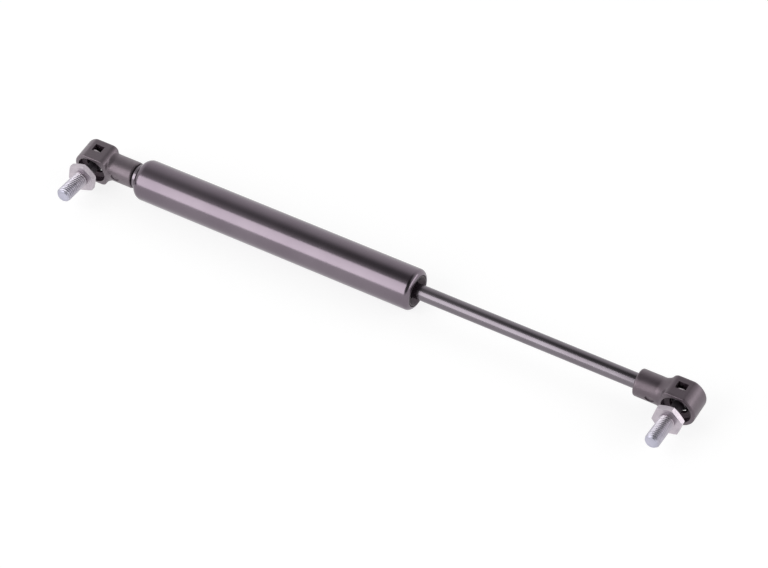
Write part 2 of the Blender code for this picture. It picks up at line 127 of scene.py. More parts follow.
# socket
NECK_R = 7.1 * MM
NECK_START = 6.5 * MM
NECK_FULL = 10.0 * MM
NECK_ROOT_R = 6.2 * MM
NECK_EDGE = 0.5 * MM
HEAD_R = 10.1 * MM
HEAD_HALF_HEIGHT = 9.4 * MM
HEAD_BACK = 6.4 * MM
HEAD_MOUTH = 7.4 * MM
HEAD_EDGE = 1.4 * MM                # rounding at the back
MOUTH_EDGE = 0.3 * MM
HEAD_CORNER = 3.4 * MM
HEAD_LONG_SIDE = 9.6 * MM
HEAD_SHORT_SIDE = 8.0 * MM
HEAD_SIDE_SLOPE = 8                 # degrees
BLEND_START = 4.6 * MM              # where the block fades into the round neck
BLEND_END = 13.6 * MM
BLEND_SQUARENESS = 5
BLEND_FADE = 1.4
BLEND_INSET = 0.1 * MM
BLEND_NECK_INSET = 0.15 * MM
VOXEL = 0.24 * MM
SOFTEN_STEPS = 20
RECESS_MIDDLE = 14.4 * MM           # small moulded recess on the mouth side of the neck
RECESS_TURN = -5
RECESS_DEPTH = 0.7 * MM
RECESS_R = 1 * MM
RECESS_FLOOR_R = 0.8 * MM
RECESS_STRETCH = (2.8, 2.2)         # of those radii, along and across the neck
MOUTH_R = 8.2 * MM
MOUTH_TAPER = 0.6 * MM
SEAT_R = 5.3 * MM
SEAT_DEPTH = 3.6 * MM
SEAT_FLARE = 1 * MM
WINDOW_OFFSET = 0.8 * MM            # towards the neck
WINDOW_HALF_WIDTH = 2.7 * MM
WINDOW_FRONT = 1.9 * MM
WINDOW_BACK = 2.5 * MM
BORE_BOTTOM = 10.6 * MM
BORE_LEAD = 1.5 * MM                # wider start of the bore

# clip
CLIP_PLANE = 0.9 * MM
CLIP_HALF_WIDTH = 5.8 * MM
CLIP_HALF_HEIGHT = 8.3 * MM
CLIP_WIRE_R = 0.55 * MM
CLIP_ROOM = 0.35 * MM

# stud
STUD_NECK_R = 3.0 * MM
STUD_EDGE = 0.5 * MM
THROAT_LENGTH = 0.4 * MM            # undercut where the ball meets its neck
THROAT_DEPTH = 0.12 * MM
HEX_FLATS = 14.5 * MM
HEX_BACK = 13.8 * MM
HEX_FACE = 16.9 * MM
HEX_CORNER = HEX_FLATS / math.sqrt(3)
HEX_CONE = (                        # distance from the ball and radius of the chamfering cones
    (HEX_BACK - CUT_PAST, HEX_FLATS / 2 - 2.0 * MM),
    (HEX_BACK, HEX_FLATS / 2 + 0.1 * MM),
    (HEX_BACK + 0.5 * MM, HEX_CORNER + 0.3 * MM),
    (HEX_FACE - 0.3 * MM, HEX_CORNER + 0.3 * MM),
    (HEX_FACE, HEX_FLATS / 2 + 0.45 * MM),
    (HEX_FACE + 0.2 * MM, HEX_FLATS / 2 - 0.35 * MM),
)
STUD_COLLAR = (                     # the neck under the hexagon
    (HEX_BACK - 0.9 * MM, STUD_NECK_R),
    (HEX_BACK + 0.4 * MM, STUD_NECK_R + 1.2 * MM),
    (HEX_BACK + 1.5 * MM, STUD_NECK_R + 1.2 * MM),
    (HEX_BACK + 1.5 * MM, 0),
)
THREAD_R = 4.0 * MM
BORE_LEAD_R = THREAD_R + 1 * MM
BORE_MOUTH_R = THREAD_R + 1.2 * MM
PITCH = 1.25 * MM
THREAD_DEPTH = 0.61 * PITCH
THREAD_CREST = 0.875                # shares of the pitch where the flank ends and how wide it is
THREAD_FLANK = 0.75
THREAD_RUN_OUT = 1.2 * PITCH
THREAD_ROOM = 0.05 * MM
TIP_CHAMFER = 0.95 * MM
TIP_SLOPE = 0.9
THREAD_ROWS = 14                    # rows of vertices for each turn

# angles in degrees
TUBE_HEX_TURN = 20
ROD_HEX_TURN = 15
TUBE_LEAN = 9
ROD_LEAN = -5
SHARP = 35                          # a steeper edge than this is drawn sharp
SOCKET_SHARP = 38
STUD_SHARP = 15

STRAIGHT = 165                      # a corner more open than this, in degrees, gets no fillet
FILLET_SHARE = 0.45                 # the most of a side that a fillet takes
ON_AXIS = 1e-7

ALONG_X = Matrix.Rotation(math.radians(90), 4, "Y")
ALONG_STUD = Matrix.Rotation(math.radians(90), 4, "X")
TUBE_FRAME = Matrix.Translation(TUBE_BALL)
ROD_FRAME = Matrix.Translation(ROD_BALL) @ Matrix.Rotation(math.radians(180), 4, "Y")


# ---------------------------------------------------------------- materials

def new_material(name):
    material = bpy.data.materials.new(name)
    material.use_nodes = True
    nodes = material.node_tree.nodes
    return material, nodes, material.node_tree.links, nodes["Principled BSDF"]


NOISE_MIDDLE = (0.3, 0.7)           # where a noise's values mostly lie
PATCH_MIDDLE = (0.32, 0.68)
GLOSS_SCALE = 3                     # times as fine as the colour's patches
SCRATCH_SCALE = 2600
SCRATCH_STRETCH = (1, 1, 0.02)
PLAIN = (1, 1, 1)
LILAC = (1.0, 0.82, 0.94)           # faint tint of the light that black mouldings throw back


def noise(nodes, links, scale, detail, stretch=PLAIN):
    """A noise in the piece's own coordinates, scale in features per metre."""
    place = nodes.new("ShaderNodeTexCoord")
    mapping = nodes.new("ShaderNodeMapping")
    mapping.inputs["Scale"].default_value = stretch
    texture = nodes.new("ShaderNodeTexNoise")
    texture.inputs["Scale"].default_value = scale
    texture.inputs["Detail"].default_value = detail
    links.new(place.outputs["Object"], mapping.inputs["Vector"])
    links.new(mapping.outputs["Vector"], texture.inputs["Vector"])
    return texture.outputs["Fac"]


def ramp(nodes, links, source, stops):
    node = nodes.new("ShaderNodeValToRGB")
    elements = node.color_ramp.elements
    while len(elements) < len(stops):
        elements.new(0.5)
    for element, (place, colour) in zip(elements, stops):
        element.position = place
        element.color = (*colour, 1.0)
    links.new(source, node.inputs["Fac"])
    return node.outputs["Color"]


def spread(nodes, links, source, low, high):
    """The noise's middle range stretched to low..high."""
    node = nodes.new("ShaderNodeMapRange")
    node.inputs["From Min"].default_value = NOISE_MIDDLE[0]
    node.inputs["From Max"].default_value = NOISE_MIDDLE[1]
    node.inputs["To Min"].default_value = low
    node.inputs["To Max"].default_value = high
    links.new(source, node.inputs["Value"])
    return node.outputs["Result"]


def bump(nodes, links, source, depth, under=None):
    node = nodes.new("ShaderNodeBump")
    node.inputs["Strength"].default_value = 1.0
    node.inputs["Distance"].default_value = depth
    links.new(source, node.inputs["Height"])
    if under:
        links.new(under, node.inputs["Normal"])
    return node.outputs["Normal"]


def product(nodes, links, first, second):
    """Two linked colours multiplied."""
    mix = nodes.new("ShaderNodeMix")
    mix.data_type = "RGBA"
    mix.blend_type = "MULTIPLY"
    mix.inputs["Factor"].default_value = 1.0
    links.new(first, mix.inputs["A"])
    links.new(second, mix.inputs["B"])
    return mix.outputs["Result"]


def tinted(nodes, links, colour, stops):
    """The colour times a tint that changes along the piece's own Z axis; places are in metres."""
    place = nodes.new("ShaderNodeTexCoord")
    split = nodes.new("ShaderNodeSeparateXYZ")
    links.new(place.outputs["Object"], split.inputs["Vector"])
    share = nodes.new("ShaderNodeMapRange")
    low, high = stops[0][0], stops[-1][0]
    share.inputs["From Min"].default_value = low
    share.inputs["From Max"].default_value = high
    links.new(split.outputs["Z"], share.inputs["Value"])
    tint = ramp(nodes, links, share.outputs["Result"],
                [((z - low) / (high - low), shade) for z, shade in stops])
    return product(nodes, links, colour, tint)


def worn(nodes, links, colour, wear):
    """The colour with wear[0] along sharp edges, where the pointiness runs from wear[1] to wear[2]."""
    mask = nodes.new("ShaderNodeMapRange")
    mask.inputs["From Min"].default_value = wear[1]
    mask.inputs["From Max"].default_value = wear[2]
    links.new(nodes.new("ShaderNodeNewGeometry").outputs["Pointiness"], mask.inputs["Value"])
    mix = nodes.new("ShaderNodeMix")
    mix.data_type = "RGBA"
    links.new(mask.outputs["Result"], mix.inputs["Factor"])
    links.new(colour, mix.inputs["A"])
    mix.inputs["B"].default_value = (*wear[0], 1.0)
    return mix.outputs["Result"]


def finish_material(name, dark, light, metallic, rough, patch=60, grain=1500,
                    grain_depth=0.004 * MM, scratches=0.0, wear=None, specular=0.5, ior=1.5,
                    along=None, specular_tint=PLAIN):
    """Colour drifts between two tones in patches, gloss varies with it, and a fine grain is raised."""
    material, nodes, links, shader = new_material(name)
    patches = noise(nodes, links, patch, 4)
    colour = ramp(nodes, links, patches, list(zip(PATCH_MIDDLE, (dark, light))))
    if along:
        colour = tinted(nodes, links, colour, along)
    if wear:
        colour = worn(nodes, links, colour, wear)
    links.new(colour, shader.inputs["Base Color"])
    gloss = noise(nodes, links, patch * GLOSS_SCALE, 5)
    links.new(spread(nodes, links, gloss, rough[0], rough[1]), shader.inputs["Roughness"])
    shader.inputs["Metallic"].default_value = metallic
    shader.inputs["Specular IOR Level"].default_value = specular
    shader.inputs["IOR"].default_value = ior
    shader.inputs["Specular Tint"].default_value = (*specular_tint, 1.0)
    normal = bump(nodes, links, noise(nodes, links, grain, 3), grain_depth)
    if scratches:
        lines = noise(nodes, links, SCRATCH_SCALE, 2, SCRATCH_STRETCH)
        normal = bump(nodes, links, lines, scratches, normal)
    links.new(normal, shader.inputs["Normal"])
    return material


def socket_material(name, dark, light):
    """Satin moulding. The two sockets are one moulding, given a lighter and a darker copy as painted
    light and shade.
    """
    return finish_material(name, dark, light, 0.0, (0.33, 0.42), patch=180, grain=2400,
                           grain_depth=0.010 * MM, wear=((0.10, 0.085, 0.095), 0.53, 0.60),
                           specular=1.0, ior=1.65, specular_tint=LILAC)


# Tones along the stud: the ball and neck are darkened as painted shade of the socket's hollow, and the
# hexagon is painted lighter than the thread as painted light
STUD_TONES_AND_PAINTED_LIGHT = (
    (0.0 * MM, (0.16, 0.15, 0.16)),     # ball, darkest: painted shade of the socket's hollow
    (5.2 * MM, (0.20, 0.19, 0.20)),
    (9.0 * MM, (0.45, 0.43, 0.45)),
    (13.6 * MM, (0.66, 0.61, 0.64)),    # hexagon, painted lighter than the thread as painted light on its face
    (17.0 * MM, (0.70, 0.65, 0.68)),
    (17.6 * MM, (0.64, 0.61, 0.64)),
    (31.8 * MM, (0.61, 0.61, 0.66)),    # bluish at the tip
    (33.0 * MM, (0.62, 0.63, 0.72)),
)
MATERIALS = {
    "tube_paint": finish_material("tube_gloss_black", (0.176, 0.145, 0.174), (0.204, 0.171, 0.200),
                                  1.0, (0.17, 0.21), patch=35, grain=420, grain_depth=0.006 * MM),
    "plug": finish_material("plug_black_oxide", (0.20, 0.175, 0.20), (0.26, 0.225, 0.26),
                            1.0, (0.16, 0.26), patch=300, scratches=0.004 * MM),
    "rod": finish_material("rod_black_nitride", (0.180, 0.158, 0.180), (0.206, 0.184, 0.208),
                           1.0, (0.20, 0.25), patch=60, grain=2200, grain_depth=0.001 * MM,
                           scratches=0.0015 * MM),
    "cap_plastic": finish_material("cap_black_moulding", (0.020, 0.014, 0.018),
                                   (0.036, 0.026, 0.032), 0.0, (0.34, 0.50), patch=250,
                                   specular=0.5, specular_tint=LILAC),
    # the tube-end socket is painted lighter and the rod-end socket darker: painted light and shade on
    # one moulding
    "tube_socket": socket_material("tube_socket_moulding_painted_lighter", (0.066, 0.056, 0.063),
                                   (0.080, 0.069, 0.076)),
    "rod_socket": socket_material("rod_socket_moulding_painted_darker", (0.026, 0.020, 0.025),
                                  (0.040, 0.032, 0.038)),
    # faces inside the socket mouth: darker and less glossy, painted shade of the hollow
    "hollow_painted_shade": finish_material("socket_inside_painted_shade", (0.024, 0.014, 0.021),
                              (0.050, 0.034, 0.045), 0.0, (0.22, 0.50), patch=700, grain=1500,
                              specular=0.4, specular_tint=(1.0, 0.80, 0.92)),
    "zinc": finish_material("stud_bright_zinc", (0.70, 0.68, 0.72), (0.84, 0.81, 0.85), 0.88,
                            (0.32, 0.42), patch=260, grain=1800, grain_depth=0.006 * MM,
                            along=STUD_TONES_AND_PAINTED_LIGHT),
    "steel": finish_material("bright_steel", (0.48, 0.48, 0.50), (0.64, 0.64, 0.66), 1.0,
                             (0.40, 0.56), patch=400, scratches=0.004 * MM),
    "clip": finish_material("clip_zinc_wire", (0.42, 0.37, 0.40), (0.58, 0.52, 0.55), 0.35,
                            (0.36, 0.50), patch=900, scratches=0.003 * MM),
    "rubber": finish_material("seal_rubber", (0.012, 0.012, 0.012), (0.026, 0.025, 0.024), 0.0,
                              (0.60, 0.75), patch=300, grain=3000),
    "guide": finish_material("guide_moulding", (0.50, 0.48, 0.43), (0.62, 0.60, 0.55), 0.0,
                             (0.40, 0.55), patch=300, grain=2500),
    "liner": finish_material("bronze_strip", (0.46, 0.28, 0.12), (0.66, 0.44, 0.22), 1.0,
                             (0.28, 0.42), patch=400, grain=2500),
    "piston": finish_material("piston_turned", (0.40, 0.41, 0.43), (0.54, 0.55, 0.57), 1.0,
                              (0.35, 0.50), patch=300, grain=2500),
    "ring": finish_material("piston_ring_moulding", (0.62, 0.60, 0.54), (0.76, 0.74, 0.68), 0.0,
                            (0.45, 0.60), patch=300, grain=2500),
}


# ---------------------------------------------------------------- mesh helpers

def arc(centre_z, centre_r, radius, start, stop, count):
    """Points (z, r) on an arc, angles in degrees from +z towards +r."""
    points = []
    for i in range(count + 1):
        angle = math.radians(start + (stop - start) * i / count)
        points.append((centre_z + radius * math.cos(angle), centre_r + radius * math.sin(angle)))
    return points


def fillet(points, radius, count=4, closed=False):
    """The same line with each real corner rounded."""
    rounded = []
    total = len(points)
    for i, point in enumerate(points):
        if not closed and i in (0, total - 1):
            rounded.append(point)
            continue
        corner = Vector(point)
        back = Vector(points[i - 1]) - corner
        ahead = Vector(points[(i + 1) % total]) - corner
        angle = back.angle(ahead)
        if angle > math.radians(STRAIGHT):
            rounded.append(point)
            continue
        reach = min(radius / math.tan(angle / 2), FILLET_SHARE * back.length,
                    FILLET_SHARE * ahead.length)
        start = corner + back.normalized() * reach
        stop = corner + ahead.normalized() * reach
        for k in range(count + 1):
            t = k / count
            place = (1 - t) ** 2 * start + 2 * t * (1 - t) * corner + t ** 2 * stop
            rounded.append((place.x, place.y))
    return rounded


def bridge(solid, low, high):
    """The band of faces between two rings of as many vertices."""
    for k in range(len(low)):
        n = (k + 1) % len(low)
        solid.faces.new((low[k], low[n], high[n], high[k]))


def revolve(solid, points, steps, closed):
    """Adds the turned surface of (z, r) points to a bmesh; a point with r = 0 is on the axis."""
    rings = []
    for z, r in points:
        if r < ON_AXIS:
            rings.append([solid.verts.new((0, 0, z))])
        else:
            rings.append([solid.verts.new((r * math.cos(TURN * k / steps),
                                           r * math.sin(TURN * k / steps), z))
                          for k in range(steps)])
    pairs = list(zip(rings, rings[1:]))
    if closed:
        pairs.append((rings[-1], rings[0]))
    for low, high in pairs:
        if len(low) == len(high) == steps:
            bridge(solid, low, high)
        elif len(high) == steps:
            for k in range(steps):
                solid.faces.new((low[0], high[(k + 1) % steps], high[k]))
        elif len(low) == steps:
            for k in range(steps):
                solid.faces.new((low[k], low[(k + 1) % steps], high[0]))
    bmesh.ops.recalc_face_normals(solid, faces=solid.faces)


def smoothed(mesh, sharp):
    mesh.shade_smooth()
    mesh.set_sharp_from_angle(angle=math.radians(sharp))
    return mesh


def mesh_of(solid, name):
    mesh = bpy.data.meshes.new(name)
    solid.to_mesh(mesh)
    solid.free()
    return smoothed(mesh, SHARP)


def turned_mesh(name, points, steps, closed=False):
    solid = bmesh.new()
    revolve(solid, points, steps, closed)
    return mesh_of(solid, name)


def add_piece(name, mesh, matrix, body, material, slot, *nodes):
    piece = bpy.data.objects.new(name, mesh)
    bpy.context.scene.collection.objects.link(piece)
    piece.matrix_world = matrix
    if not mesh.materials:
        mesh.materials.append(MATERIALS[material])
    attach(piece, body)
    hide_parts(*nodes)
    return piece


def temporary(mesh):
    item = bpy.data.objects.new("temporary", mesh)
    bpy.context.scene.collection.objects.link(item)
    return item


def applied(item, name):
    """The item's mesh with its modifiers applied; the item and its cutters are removed."""
    bpy.context.view_layer.update()
    graph = bpy.context.evaluated_depsgraph_get()
    mesh = bpy.data.meshes.new_from_object(item.evaluated_get(graph), depsgraph=graph)
    mesh.name = name
    for modifier in list(item.modifiers):
        if modifier.type == "BOOLEAN":
            bpy.data.objects.remove(modifier.object, do_unlink=True)
    bpy.data.objects.remove(item, do_unlink=True)
    return mesh


def boolean(item, tool, operation="DIFFERENCE"):
    modifier = item.modifiers.new("cut", "BOOLEAN")
    modifier.operation = operation
    modifier.solver = "EXACT"
    modifier.object = tool


# ---------------------------------------------------------------- barrel

def tube_points():
    """The wall's section: rolled in round the plug's collar and round the cap."""
    shoulder_z, shoulder_r = TUBE_START + SHOULDER_R, TUBE_R - SHOULDER_R
    lip_z, lip_r = TUBE_END - LIP_R, TUBE_R - LIP_R

    def cut(radius, inside):
        return math.degrees(math.asin(inside / radius))

    hole = COLLAR_R + GAP - shoulder_r
    mouth = CAP_R + GAP - lip_r
    outer = arc(shoulder_z, shoulder_r, SHOULDER_R, 180 - cut(SHOULDER_R, hole), 90, 16)
    outer += arc(lip_z, lip_r, LIP_R, 90, cut(LIP_R, mouth), 16)
    inner = arc(shoulder_z, shoulder_r, SHOULDER_R - WALL, 180 - cut(SHOULDER_R - WALL, hole), 90, 10)
    inner += arc(lip_z, lip_r, LIP_R - WALL, 90, cut(LIP_R - WALL, mouth), 10)
    return fillet(outer + list(reversed(inner)), ROLLED_EDGE, closed=True)


def build_barrel():
    tube = turned_mesh("tube", tube_points(), 160, closed=True)
    add_piece("tube_shell", tube, TUBE_FRAME @ ALONG_X, "barrel", "tube_paint", "tube_paint",
              "pressure_tube")

    shoulder_z, shoulder_r = TUBE_START + SHOULDER_R, TUBE_R - SHOULDER_R
    radius = SHOULDER_R - WALL - GAP
    start = 180 - math.degrees(math.asin((COLLAR_R - shoulder_r) / radius))
    groove = (shoulder_z + PLUG_FACE) / 2
    groove_low, groove_high = groove - GROOVE_HALF_WIDTH, groove + GROOVE_HALF_WIDTH
    floor = PLUG_R - GROOVE_DEPTH
    points = [(PLUG_START, 0), (PLUG_START, THREAD_R - END_CHAMFER),
              (PLUG_START + END_CHAMFER, THREAD_R), (COLLAR_START, THREAD_R),
              (COLLAR_START, COLLAR_R)]
    points += arc(shoulder_z, shoulder_r, radius, start, 90, 8)
    points += [(groove_low, PLUG_R), (groove_low, floor), (groove_high, floor),
               (groove_high, PLUG_R), (PLUG_FACE, PLUG_R), (PLUG_FACE, 0)]
    plug = turned_mesh("plug", fillet(points, PLUG_EDGE), 96)
    add_piece("plug_and_collar", plug, TUBE_FRAME @ ALONG_X, "barrel", "plug", "tube_paint",
              "end_plug")

    boss = CAP_BACK + CAP_FLANGE
    points = [(CAP_BACK, CAP_FLANGE_R), (boss, CAP_FLANGE_R), (boss, CAP_R), (CAP_FACE, CAP_R)]
    points += [(CAP_FACE - depth, r) for depth, r in CAP_DISH]
    points.append((CAP_BACK, ROD_R + GAP))
    cap = turned_mesh("cap", fillet(points, CAP_EDGE, closed=True), 128, closed=True)
    add_piece("wiper_cap", cap, TUBE_FRAME @ ALONG_X, "barrel", "cap_plastic", "cap_plastic",
              "front_cap")


# ---------------------------------------------------------------- rod

def build_rod():
    start, stop = ROD_LOW.x - TUBE_BALL.x, ROD_HIGH.x - TUBE_BALL.x
    rivet = start + RIVET_LENGTH
    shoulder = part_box("piston_front_washer")[1].x - TUBE_BALL.x + GAP
    points = [(start, 0)]
    points += arc(start + RIVET_ROUND, RIVET_R - RIVET_ROUND, RIVET_ROUND, 180, 90, 5)
    points += [(rivet, RIVET_R), (rivet, JOURNAL_R), (shoulder, JOURNAL_R), (shoulder, ROD_R),
               (stop - END_CHAMFER, ROD_R), (stop, ROD_R - END_CHAMFER), (stop, 0)]
    rod = turned_mesh("rod", fillet(points, ROD_EDGE), 96)
    add_piece("sliding_rod", rod, TUBE_FRAME @ ALONG_X, "rod", "rod", "rod", "piston_rod")


# ---------------------------------------------------------------- ball joints

def head_outline(inset):
    """The head seen along the stud, drawn in by inset all round."""
    radius, half = HEAD_R - inset, HEAD_HALF_HEIGHT - inset
    reach = math.degrees(math.asin(half / radius))
    corner_z = HEAD_HALF_HEIGHT - HEAD_CORNER
    corner_r = HEAD_CORNER - inset
    points = arc(0, 0, radius, 180 - reach, 180 + reach, 40)
    slope = -HEAD_SIDE_SLOPE
    points += arc(HEAD_SHORT_SIDE - HEAD_CORNER, -corner_z, corner_r, -90, slope, 8)
    points += arc(HEAD_LONG_SIDE - HEAD_CORNER, corner_z, corner_r, slope, 90, 8)
    return points


def add_head(solid):
    """The head as a stack of outlines from mouth to back, rounded at the back."""
    layers = [(-HEAD_MOUTH, MOUTH_EDGE), (-HEAD_MOUTH + MOUTH_EDGE, 0)]
    steps = 8
    for i in range(steps + 1):
        angle = math.radians(90 * i / steps)
        layers.append((HEAD_BACK - HEAD_EDGE * (1 - math.sin(angle)),
                       HEAD_EDGE * (1 - math.cos(angle))))
    rings = []
    for y, inset in layers:
        rings.append([solid.verts.new((x, y, z)) for x, z in head_outline(inset)])
    for low, high in zip(rings, rings[1:]):
        bridge(solid, low, high)
    solid.faces.new(rings[0])
    solid.faces.new(list(reversed(rings[-1])))


def blend_solid():
    """The block's outline, seen along the neck, fading into the round neck."""
    solid = bmesh.new()
    rows, around, square = 20, 96, BLEND_SQUARENESS
    top = HEAD_HALF_HEIGHT - BLEND_INSET
    rings = []
    for i in range(rows + 1):
        t = i / rows
        share = (1 - t * t * (3 - 2 * t)) ** BLEND_FADE
        ring = []
        for k in range(around):
            c, s = math.cos(TURN * k / around), math.sin(TURN * k / around)
            side = (HEAD_MOUTH if c < 0 else HEAD_BACK) - BLEND_INSET
            reach = ((abs(c) / side) ** square + (abs(s) / top) ** square) ** (-1 / square)
            radius = NECK_R - BLEND_NECK_INSET + (reach - NECK_R) * share
            ring.append(solid.verts.new((BLEND_START + (BLEND_END - BLEND_START) * t,
                                         radius * c, radius * s)))
        rings.append(ring)
    for low, high in zip(rings, rings[1:]):
        bridge(solid, low, high)
    solid.faces.new(rings[0])
    solid.faces.new(rings[-1])
    return solid


def shell(points, steps, matrix=Matrix.Identity(4)):
    """The turned solid of (z, r) points, placed by matrix."""
    solid = bmesh.new()
    revolve(solid, points, steps, False)
    bmesh.ops.transform(solid, matrix=matrix, verts=solid.verts)
    return solid


def merge(*solids):
    """One temporary object that holds every solid."""
    whole = bmesh.new()
    for solid in solids:
        bmesh.ops.recalc_face_normals(solid, faces=solid.faces)
        mesh = bpy.data.meshes.new("temporary")
        solid.to_mesh(mesh)
        solid.free()
        whole.from_mesh(mesh)
        bpy.data.meshes.remove(mesh)
    mesh = bpy.data.meshes.new("temporary")
    whole.to_mesh(mesh)
    whole.free()
    return temporary(mesh)


def block(low, high):
    solid = bmesh.new()
    bmesh.ops.create_cube(solid, size=1.0)
    size = [b - a for a, b in zip(low, high)]
    middle = [(a + b) / 2 for a, b in zip(low, high)]
    bmesh.ops.scale(solid, vec=size, verts=solid.verts)
    bmesh.ops.translate(solid, vec=middle, verts=solid.verts)
    return solid


def mouth_points():
    """The ball's seat, flaring out to the wide mouth."""
    points = [(-SEAT_R, 0)] + arc(0, 0, SEAT_R, 180, 90, 16)[1:]
    points += [(SEAT_DEPTH, SEAT_R), (SEAT_DEPTH + SEAT_FLARE, MOUTH_R - MOUTH_TAPER),
               (HEAD_MOUTH + CUT_PAST, MOUTH_R), (HEAD_MOUTH + CUT_PAST, 0)]
    return points


def slot_solid():
    """The flat oval hollow that the clip sits in."""
    room = CLIP_WIRE_R + CLIP_ROOM
    solid = bmesh.new()
    bmesh.ops.create_cone(solid, cap_ends=True, segments=96, radius1=1.0, radius2=1.0,
                          depth=2 * room)
    bmesh.ops.scale(solid, vec=(CLIP_HALF_WIDTH + room, CLIP_HALF_HEIGHT + room, 1),
                    verts=solid.verts)
    bmesh.ops.transform(solid, matrix=ALONG_STUD @ Matrix.Translation((0, 0, CLIP_PLANE)),
                        verts=solid.verts)
    return solid


def socket_mesh(name, material):
    head = bmesh.new()
    add_head(head)
    neck = shell([(NECK_START, 0), (NECK_START, NECK_ROOT_R), (NECK_FULL, NECK_R),
                  (NECK_END - NECK_EDGE, NECK_R), (NECK_END, NECK_R - NECK_EDGE), (NECK_END, 0)],
                 128, ALONG_X)
    body = merge(head, blend_solid(), neck)
    remesh = body.modifiers.new("weld", "REMESH")
    remesh.mode = "VOXEL"
    remesh.voxel_size = VOXEL
    soften = body.modifiers.new("soften", "SMOOTH")
    soften.factor = 0.5
    soften.iterations = SOFTEN_STEPS

    boolean(body, merge(shell(mouth_points(), 96, ALONG_STUD)))
    bore = [(BORE_BOTTOM, 0), (BORE_BOTTOM, THREAD_R + GAP), (NECK_END - BORE_LEAD, THREAD_R + GAP),
            (NECK_END - BORE_LEAD, BORE_LEAD_R), (NECK_END + CUT_PAST, BORE_MOUTH_R),
            (NECK_END + CUT_PAST, 0)]
    boolean(body, merge(shell(bore, 64, ALONG_X)))
    boolean(body, merge(slot_solid()))
    through = 2 * HEAD_R
    boolean(body, merge(block((WINDOW_OFFSET - WINDOW_HALF_WIDTH, -WINDOW_FRONT, -through),
                              (WINDOW_OFFSET + WINDOW_HALF_WIDTH, WINDOW_BACK, through))))
    recess = (Matrix.Rotation(math.radians(RECESS_TURN), 4, "X") @ ALONG_STUD
              @ Matrix.Translation((RECESS_MIDDLE, 0, NECK_R))
              @ Matrix.Diagonal((*RECESS_STRETCH, 1, 1)))
    pocket = [(-RECESS_DEPTH, 0), (-RECESS_DEPTH, RECESS_FLOOR_R), (CUT_PAST, RECESS_R),
              (CUT_PAST, 0)]
    boolean(body, merge(shell(pocket, 32, recess)))
    mesh = smoothed(applied(body, name), SOCKET_SHARP)
    mesh.materials.clear()
    mesh.materials.append(MATERIALS[material])
    mesh.materials.append(MATERIALS["hollow_painted_shade"])
    # Faces inside the mouth take the darker finish, painted shade of the hollow.
    margin = 0.05 * MM
    for face in mesh.polygons:
        x, y, z = face.center
        inside = math.hypot(x, z) < MOUTH_R + margin and -HEAD_MOUTH + margin < y < SEAT_R
        face.material_index = 1 if inside else 0
    return mesh


def clip_mesh(name):
    """An oval ring of round wire."""
    solid = bmesh.new()
    around, across = 96, 16
    rings = []
    for i in range(around):
        angle = TURN * i / around
        centre = Vector((CLIP_HALF_WIDTH * math.cos(angle), CLIP_HALF_HEIGHT * math.sin(angle), 0))
        outward = Vector((CLIP_HALF_HEIGHT * math.cos(angle),
                          CLIP_HALF_WIDTH * math.sin(angle), 0)).normalized()
        rings.append([solid.verts.new(centre + CLIP_WIRE_R * (
            outward * math.cos(TURN * k / across) + Vector((0, 0, math.sin(TURN * k / across)))))
            for k in range(across)])
    for i in range(around):
        bridge(solid, rings[i], rings[(i + 1) % around])
    bmesh.ops.recalc_face_normals(solid, faces=solid.faces)
    return mesh_of(solid, name)


def thread_radius(angle, z, start, stop):
    """An M8 thread's radius there, with its run-out at the hexagon and the chamfer at the tip."""
    phase = (z / PITCH - angle / TURN) % 1.0
    flank = abs(phase - 0.5) * 2
    cut = min(1.0, max(0.0, (THREAD_CREST - flank) / THREAD_FLANK))
    cut_r, plain_r = THREAD_R - THREAD_DEPTH * cut, THREAD_R - THREAD_ROOM
    share = min(1.0, max(0.0, (z - start) / THREAD_RUN_OUT))
    radius = plain_r - (plain_r - cut_r) * share
    return min(radius, THREAD_R - TIP_CHAMFER + (stop - z) * TIP_SLOPE)


def thread_part(start, stop):
    """The threaded shank as one closed solid."""
    solid = bmesh.new()
    steps, rows = 72, int((stop - start) / PITCH * THREAD_ROWS)
    rings = []
    for i in range(rows + 1):
        z = start + (stop - start) * i / rows
        ring = []
        for k in range(steps):
            angle = TURN * k / steps
            radius = thread_radius(angle, z, start, stop)
            ring.append(solid.verts.new((radius * math.cos(angle), radius * math.sin(angle), z)))
        rings.append(ring)
    for low, high in zip(rings, rings[1:]):
        bridge(solid, low, high)
    solid.faces.new(list(reversed(rings[0])))
    solid.faces.new(rings[-1])
    return solid


def hex_part(turn):
    """Hexagon with its corners chamfered on both faces, slightly on the face and well at the back."""
    item = merge(shell([(HEX_BACK, 0), (HEX_BACK, HEX_CORNER), (HEX_FACE, HEX_CORNER),
                        (HEX_FACE, 0)], 6))
    cone = [(HEX_CONE[0][0], 0), *HEX_CONE, (HEX_CONE[-1][0], 0)]
    boolean(item, merge(shell(cone, 96)), "INTERSECT")
    mesh = applied(item, "hexagon")
    solid = bmesh.new()
    solid.from_mesh(mesh)
    bpy.data.meshes.remove(mesh)
    bmesh.ops.transform(solid, matrix=Matrix.Rotation(math.radians(turn), 4, "Z"),
                        verts=solid.verts)
    return solid


def stud_mesh(name, turn):
    """Ball, neck, hexagon and thread as one piece."""
    neck_angle = math.degrees(math.asin(STUD_NECK_R / BALL_R))
    points = [(-BALL_R, 0)] + arc(0, 0, BALL_R, 180, neck_angle, 40)[1:]
    throat = points[-1][0] + THROAT_LENGTH
    points += [(throat, STUD_NECK_R - THROAT_DEPTH), *STUD_COLLAR]
    item = merge(shell(fillet(points, STUD_EDGE, count=8), 96))
    boolean(item, merge(hex_part(turn)), "UNION")
    boolean(item, merge(thread_part(HEX_FACE - CUT_PAST, STUD_TIP)), "UNION")
    return smoothed(applied(item, name), STUD_SHARP)


